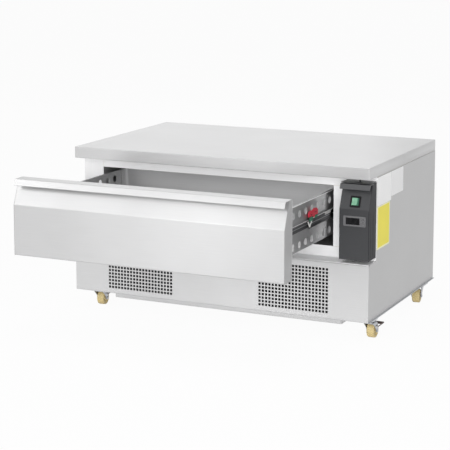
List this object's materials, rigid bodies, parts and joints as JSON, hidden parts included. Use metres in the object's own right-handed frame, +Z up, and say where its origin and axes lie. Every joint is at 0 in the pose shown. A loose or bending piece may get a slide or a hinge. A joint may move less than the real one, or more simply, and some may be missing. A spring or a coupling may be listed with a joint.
{
  "type": "refrigerated chef base",
  "caption": "Low refrigerated chef base on casters: a flat stainless worktop over a wide pull-out insulated drawer, with a control panel and a vented machine compartment.",
  "frame": {"origin": "on the floor, under the centre of the whole object as it stands with its drawer open", "axes": "+X to the right as seen from the front, +Y towards the back, +Z up; the drawer opens towards -Y"},
  "size_m": [1.1122, 1.1, 0.58],
  "materials": {
    "brushed_stainless": "satin",
    "satin_stainless": "satin",
    "zinc_plate": "satin",
    "insulation_foam": "matte",
    "charcoal_plastic": "satin",
    "black_plastic": "satin",
    "grey_plastic": "satin",
    "green_lens": "gloss",
    "red_lever": "satin",
    "grey_gasket": "matte",
    "tan_tyre": "satin",
    "brown_pedal": "satin",
    "compressor_black": "satin",
    "copper_pipe": "satin",
    "coil_fins": "satin"
  },
  "bodies": {
    "cabinet": {"back_panel": "brushed_stainless", "base_frame": "zinc_plate", "base_tray": "brushed_stainless", "cavity_liner": "satin_stainless", "compartment_deck": "brushed_stainless", "compressor": "compressor_black", "condensate_pan": "black_plastic", "condenser_coil": "coil_fins", "condenser_fan_mount": "zinc_plate", "control_housing": "charcoal_plastic", "electrical_box": "black_plastic", "evaporator_coil": "coil_fins", "evaporator_cover": "satin_stainless", "evaporator_fan_mount": "zinc_plate", "front_post_left": "brushed_stainless", "front_post_right": "brushed_stainless", "front_rail_bottom": "brushed_stainless", "front_rail_top": "brushed_stainless", "insulated_body": "insulation_foam", "lower_front_panel": "brushed_stainless", "power_inlet": "black_plastic", "rocker_bezel": "black_plastic", "side_panel_left": "brushed_stainless", "side_panel_right": "brushed_stainless", "slide_outer_left": "zinc_plate", "slide_outer_right": "zinc_plate", "suction_line": "copper_pipe", "thermostat_body": "grey_plastic", "thermostat_display": "black_plastic", "worktop": "brushed_stainless"},
    "drawer": {"drawer_front": "brushed_stainless", "drawer_front_core": "insulation_foam", "drawer_end_cap_left": "brushed_stainless", "drawer_end_cap_right": "brushed_stainless", "drawer_inner_panel": "satin_stainless", "drawer_gasket": "grey_gasket", "drawer_side_left": "satin_stainless", "drawer_side_right": "satin_stainless", "drawer_tray": "satin_stainless", "slide_inner_left": "zinc_plate", "slide_inner_right": "zinc_plate"},
    "slide_carriage_left": {"slide_middle_left": "zinc_plate"},
    "slide_carriage_right": {"slide_middle_right": "zinc_plate"},
    "latch_left": {"slide_latch_left": "red_lever"},
    "latch_right": {"slide_latch_right": "red_lever"},
    "rocker": {"rocker_switch": "green_lens"},
    "button_1": {"thermostat_button_1": "grey_plastic"},
    "button_2": {"thermostat_button_2": "grey_plastic"},
    "condenser_fan": {"condenser_fan_blade": "black_plastic"},
    "evaporator_fan": {"evaporator_fan_blade": "black_plastic"},
    "caster_front_left": {"caster_fork_front_left": "zinc_plate"},
    "wheel_front_left": {"caster_wheel_front_left": "tan_tyre"},
    "pedal_front_left": {"brake_pedal_front_left": "brown_pedal"},
    "caster_front_right": {"caster_fork_front_right": "zinc_plate"},
    "wheel_front_right": {"caster_wheel_front_right": "tan_tyre"},
    "pedal_front_right": {"brake_pedal_front_right": "brown_pedal"},
    "caster_rear_left": {"caster_fork_rear_left": "zinc_plate"},
    "wheel_rear_left": {"caster_wheel_rear_left": "tan_tyre"},
    "caster_rear_right": {"caster_fork_rear_right": "zinc_plate"},
    "wheel_rear_right": {"caster_wheel_rear_right": "tan_tyre"}
  },
  "joints": [
    {"name": "drawer_slide", "type": "slide", "parent": "cabinet", "child": "drawer", "axis": [0, -1, 0], "range_m": [-0.4, 0.13]},
    {"name": "slide_carriage_left", "type": "slide", "parent": "cabinet", "child": "slide_carriage_left", "axis": [0, -1, 0], "range_m": [-0.2, 0.065]},
    {"name": "slide_carriage_right", "type": "slide", "parent": "cabinet", "child": "slide_carriage_right", "axis": [0, -1, 0], "range_m": [-0.2, 0.065]},
    {"name": "slide_latch_left", "type": "hinge", "parent": "slide_carriage_left", "child": "latch_left", "pos_m": [-0.47114, -0.208, 0.437], "axis": [1, 0, 0], "range_deg": [-12, 0], "stiffness_Nm_per_rad": 0.05, "springref_deg": 5.73},
    {"name": "slide_latch_right", "type": "hinge", "parent": "slide_carriage_right", "child": "latch_right", "pos_m": [0.38386, -0.208, 0.437], "axis": [1, 0, 0], "range_deg": [-12, 0], "stiffness_Nm_per_rad": 0.05, "springref_deg": 5.73},
    {"name": "power_rocker", "type": "hinge", "parent": "cabinet", "child": "rocker", "pos_m": [0.49186, -0.13672, 0.46365], "axis": [1, 0, 0], "range_deg": [0, 9]},
    {"name": "set_button_1", "type": "slide", "parent": "cabinet", "child": "button_1", "axis": [0, 1, 0], "range_m": [0, 0.0012], "stiffness_N_per_m": 200},
    {"name": "set_button_2", "type": "slide", "parent": "cabinet", "child": "button_2", "axis": [0, 1, 0], "range_m": [0, 0.0012], "stiffness_N_per_m": 200},
    {"name": "condenser_fan_spin", "type": "hinge", "parent": "cabinet", "child": "condenser_fan", "pos_m": [-0.28614, -0.05, 0.161], "axis": [0, 1, 0], "continuous": true},
    {"name": "evaporator_fan_spin", "type": "hinge", "parent": "cabinet", "child": "evaporator_fan", "pos_m": [0.43986, 0.32, 0.4], "axis": [0, 1, 0], "continuous": true},
    {"name": "caster_swivel_front_left", "type": "hinge", "parent": "cabinet", "child": "caster_front_left", "pos_m": [-0.49114, -0.092, 0.0572], "axis": [0, 0, 1], "continuous": true},
    {"name": "wheel_roll_front_left", "type": "hinge", "parent": "caster_front_left", "child": "wheel_front_left", "pos_m": [-0.49254, -0.07205, 0.025], "axis": [-0.9976, -0.0698, 0], "continuous": true},
    {"name": "brake_pedal_front_left", "type": "hinge", "parent": "caster_front_left", "child": "pedal_front_left", "pos_m": [-0.4924, -0.07404, 0.0405], "axis": [-0.9976, -0.0698, 0], "range_deg": [0, 10]},
    {"name": "caster_swivel_front_right", "type": "hinge", "parent": "cabinet", "child": "caster_front_right", "pos_m": [0.53186, -0.092, 0.0572], "axis": [0, 0, 1], "continuous": true},
    {"name": "wheel_roll_front_right", "type": "hinge", "parent": "caster_front_right", "child": "wheel_front_right", "pos_m": [0.53221, -0.072, 0.025], "axis": [-0.9998, 0.0175, 0], "continuous": true},
    {"name": "brake_pedal_front_right", "type": "hinge", "parent": "caster_front_right", "child": "pedal_front_right", "pos_m": [0.53217, -0.074, 0.0405], "axis": [-0.9998, 0.0175, 0], "range_deg": [0, 10]},
    {"name": "caster_swivel_rear_left", "type": "hinge", "parent": "cabinet", "child": "caster_rear_left", "pos_m": [-0.49114, 0.45, 0.0572], "axis": [0, 0, 1], "continuous": true},
    {"name": "wheel_roll_rear_left", "type": "hinge", "parent": "caster_rear_left", "child": "wheel_rear_left", "pos_m": [-0.49462, 0.4303, 0.025], "axis": [0.9848, -0.1736, 0], "continuous": true},
    {"name": "caster_swivel_rear_right", "type": "hinge", "parent": "cabinet", "child": "caster_rear_right", "pos_m": [0.51986, 0.45, 0.0572], "axis": [0, 0, 1], "continuous": true},
    {"name": "wheel_roll_rear_right", "type": "hinge", "parent": "caster_rear_right", "child": "wheel_rear_right", "pos_m": [0.52195, 0.43011, 0.025], "axis": [0.9945, 0.1045, 0], "continuous": true}
  ],
  "couplings": [
    {"joint": "slide_carriage_left", "follows": "drawer_slide", "ratio": 0.5},
    {"joint": "slide_carriage_right", "follows": "drawer_slide", "ratio": 0.5}
  ]
}
